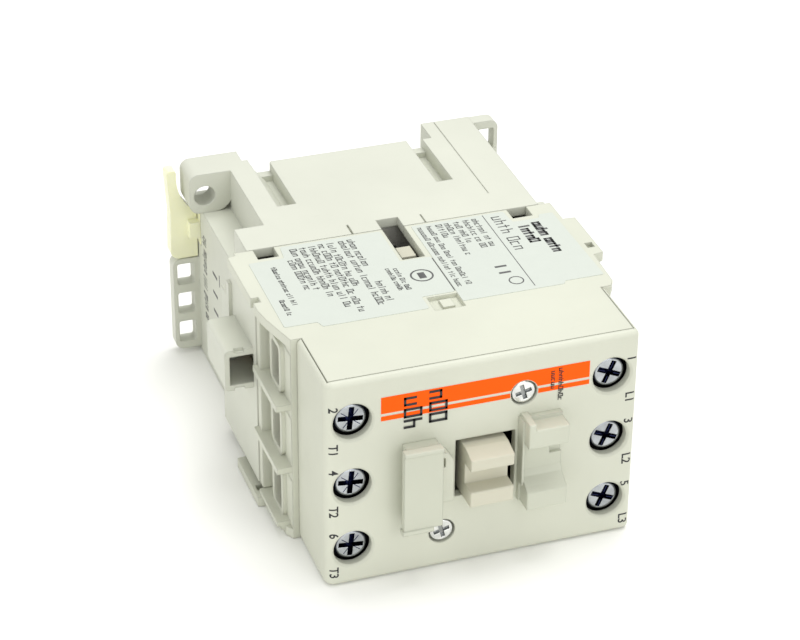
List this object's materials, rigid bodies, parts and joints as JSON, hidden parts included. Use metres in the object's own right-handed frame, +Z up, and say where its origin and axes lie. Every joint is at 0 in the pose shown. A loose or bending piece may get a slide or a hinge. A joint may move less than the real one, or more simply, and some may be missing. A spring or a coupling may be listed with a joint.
{
  "type": "magnetic motor starter",
  "caption": "Three-pole magnetic motor starter for 35 mm rail, with sprung contact carrier, box-clamp screw terminals, coil and rail latch, lying on its side.",
  "frame": {"origin": "centre of the rail seat, the floor of the 35 mm rail channel in the back", "axes": "+Y out of the back towards the mounting plate, -Y out of the front; -X load terminals, +X line terminals; +Z up with the device lying on its side, so Z is the 45 mm width"},
  "size_m": [0.0798, 0.0978, 0.0451],
  "materials": {
    "housing_grey": "fine matte moulding",
    "base_grey": "fine matte moulding",
    "front_grey": "fine matte moulding",
    "carrier_cream": "satin moulding",
    "latch_nylon": "natural nylon",
    "magnet_steel": "laminated steel",
    "dark_screw": "blue-black passivated",
    "zinc_steel": "zinc plated",
    "spring_steel": "drawn wire",
    "copper": "plain copper",
    "enamelled_copper": "enamelled winding",
    "bobbin_nylon": "glass-filled nylon",
    "pad_rubber": "soft pad",
    "silver_contact": "silver alloy",
    "orange_print": "printed film",
    "label_film": "white film"
  },
  "bodies": {
    "housing_group": {"front_cover": "housing_grey", "left_front_rail": "front_grey", "right_front_hook": "front_grey", "contact_housing": "housing_grey", "base_housing": "base_grey", "latch_spring": "spring_steel", "fixed_magnet": "magnet_steel", "shading_rings": "copper", "magnet_pads": "pad_rubber", "coil_bobbin": "bobbin_nylon", "coil_winding": "enamelled_copper", "return_spring_upper": "spring_steel", "return_spring_lower": "spring_steel", "fixed_contact_tips": "silver_contact", "load_terminal_bars": "copper", "line_terminal_bars": "copper", "arc_plates": "zinc_steel", "coil_terminal_strip_a1": "copper", "coil_terminal_strip_a2": "copper", "cover_screws": "zinc_steel", "front_stripe": "orange_print", "load_side_label": "label_film", "line_side_label": "label_film"},
    "contact_carrier_group": {"contact_carrier": "carrier_cream", "armature": "magnet_steel", "armature_pin": "zinc_steel", "contact_spring_1": "spring_steel", "contact_spring_2": "spring_steel", "contact_spring_3": "spring_steel"},
    "bridge_group": {"bridge_contacts": "copper", "bridge_contact_tips": "silver_contact"},
    "rail_latch_group": {"rail_latch": "latch_nylon"},
    "screw_t1": {"terminal_screw_t1": "dark_screw"},
    "clamp_t1": {"terminal_clamp_t1": "zinc_steel"},
    "screw_t2": {"terminal_screw_t2": "dark_screw"},
    "clamp_t2": {"terminal_clamp_t2": "zinc_steel"},
    "screw_t3": {"terminal_screw_t3": "dark_screw"},
    "clamp_t3": {"terminal_clamp_t3": "zinc_steel"},
    "screw_l1": {"terminal_screw_l1": "dark_screw"},
    "clamp_l1": {"terminal_clamp_l1": "zinc_steel"},
    "screw_l2": {"terminal_screw_l2": "dark_screw"},
    "clamp_l2": {"terminal_clamp_l2": "zinc_steel"},
    "screw_l3": {"terminal_screw_l3": "dark_screw"},
    "clamp_l3": {"terminal_clamp_l3": "zinc_steel"},
    "coil_screw_a1": {"coil_terminal_screw_a1": "zinc_steel"},
    "coil_screw_a2": {"coil_terminal_screw_a2": "zinc_steel"}
  },
  "joints": [
    {"name": "carrier_slide", "type": "slide", "parent": "housing_group", "child": "contact_carrier_group", "axis": [0, 1, 0], "range_m": [0, 0.0048], "stiffness_N_per_m": 1500, "springref_m": -0.003, "deforming": ["return_spring_upper", "return_spring_lower"]},
    {"name": "bridge_slide", "type": "slide", "parent": "housing_group", "child": "bridge_group", "axis": [0, 1, 0], "range_m": [0, 0.003], "deforming": ["contact_spring_1", "contact_spring_2", "contact_spring_3"]},
    {"name": "latch_slide", "type": "slide", "parent": "housing_group", "child": "rail_latch_group", "axis": [-1, 0, 0], "range_m": [0, 0.0035], "stiffness_N_per_m": 900, "springref_m": -0.001, "deforming": ["latch_spring"]},
    {"name": "screw_t1_turn", "type": "hinge", "parent": "housing_group", "child": "screw_t1", "pos_m": [-0.02545, -0.0735, 0.0136], "axis": [0, 1, 0], "range_deg": [0, 2160.1]},
    {"name": "clamp_t1_slide", "type": "slide", "parent": "housing_group", "child": "clamp_t1", "axis": [0, -1, 0], "range_m": [0, 0.0048]},
    {"name": "screw_t2_turn", "type": "hinge", "parent": "housing_group", "child": "screw_t2", "pos_m": [-0.02545, -0.0735, -0.0005], "axis": [0, 1, 0], "range_deg": [0, 2160.1]},
    {"name": "clamp_t2_slide", "type": "slide", "parent": "housing_group", "child": "clamp_t2", "axis": [0, -1, 0], "range_m": [0, 0.0048]},
    {"name": "screw_t3_turn", "type": "hinge", "parent": "housing_group", "child": "screw_t3", "pos_m": [-0.02545, -0.0735, -0.0146], "axis": [0, 1, 0], "range_deg": [0, 2160.1]},
    {"name": "clamp_t3_slide", "type": "slide", "parent": "housing_group", "child": "clamp_t3", "axis": [0, -1, 0], "range_m": [0, 0.0048]},
    {"name": "screw_l1_turn", "type": "hinge", "parent": "housing_group", "child": "screw_l1", "pos_m": [0.02545, -0.0735, 0.0136], "axis": [0, 1, 0], "range_deg": [0, 2160.1]},
    {"name": "clamp_l1_slide", "type": "slide", "parent": "housing_group", "child": "clamp_l1", "axis": [0, -1, 0], "range_m": [0, 0.0048]},
    {"name": "screw_l2_turn", "type": "hinge", "parent": "housing_group", "child": "screw_l2", "pos_m": [0.02545, -0.0735, -0.0005], "axis": [0, 1, 0], "range_deg": [0, 2160.1]},
    {"name": "clamp_l2_slide", "type": "slide", "parent": "housing_group", "child": "clamp_l2", "axis": [0, -1, 0], "range_m": [0, 0.0048]},
    {"name": "screw_l3_turn", "type": "hinge", "parent": "housing_group", "child": "screw_l3", "pos_m": [0.02545, -0.0735, -0.0146], "axis": [0, 1, 0], "range_deg": [0, 2160.1]},
    {"name": "clamp_l3_slide", "type": "slide", "parent": "housing_group", "child": "clamp_l3", "axis": [0, -1, 0], "range_m": [0, 0.0048]},
    {"name": "coil_screw_a1_turn", "type": "hinge", "parent": "housing_group", "child": "coil_screw_a1", "pos_m": [0.0363, -0.0415, -0.0061], "axis": [0, 1, 0], "range_deg": [-720, 0]},
    {"name": "coil_screw_a2_turn", "type": "hinge", "parent": "housing_group", "child": "coil_screw_a2", "pos_m": [-0.0363, -0.0415, 0.0061], "axis": [0, 1, 0], "range_deg": [-720, 0]}
  ],
  "couplings": [
    {"joint": "bridge_slide", "follows": "carrier_slide", "ratio": 0.625},
    {"joint": "screw_t1_turn", "follows": "clamp_t1_slide", "rad_per_m": 7854},
    {"joint": "screw_t2_turn", "follows": "clamp_t2_slide", "rad_per_m": 7854},
    {"joint": "screw_t3_turn", "follows": "clamp_t3_slide", "rad_per_m": 7854},
    {"joint": "screw_l1_turn", "follows": "clamp_l1_slide", "rad_per_m": 7854},
    {"joint": "screw_l2_turn", "follows": "clamp_l2_slide", "rad_per_m": 7854},
    {"joint": "screw_l3_turn", "follows": "clamp_l3_slide", "rad_per_m": 7854}
  ]
}
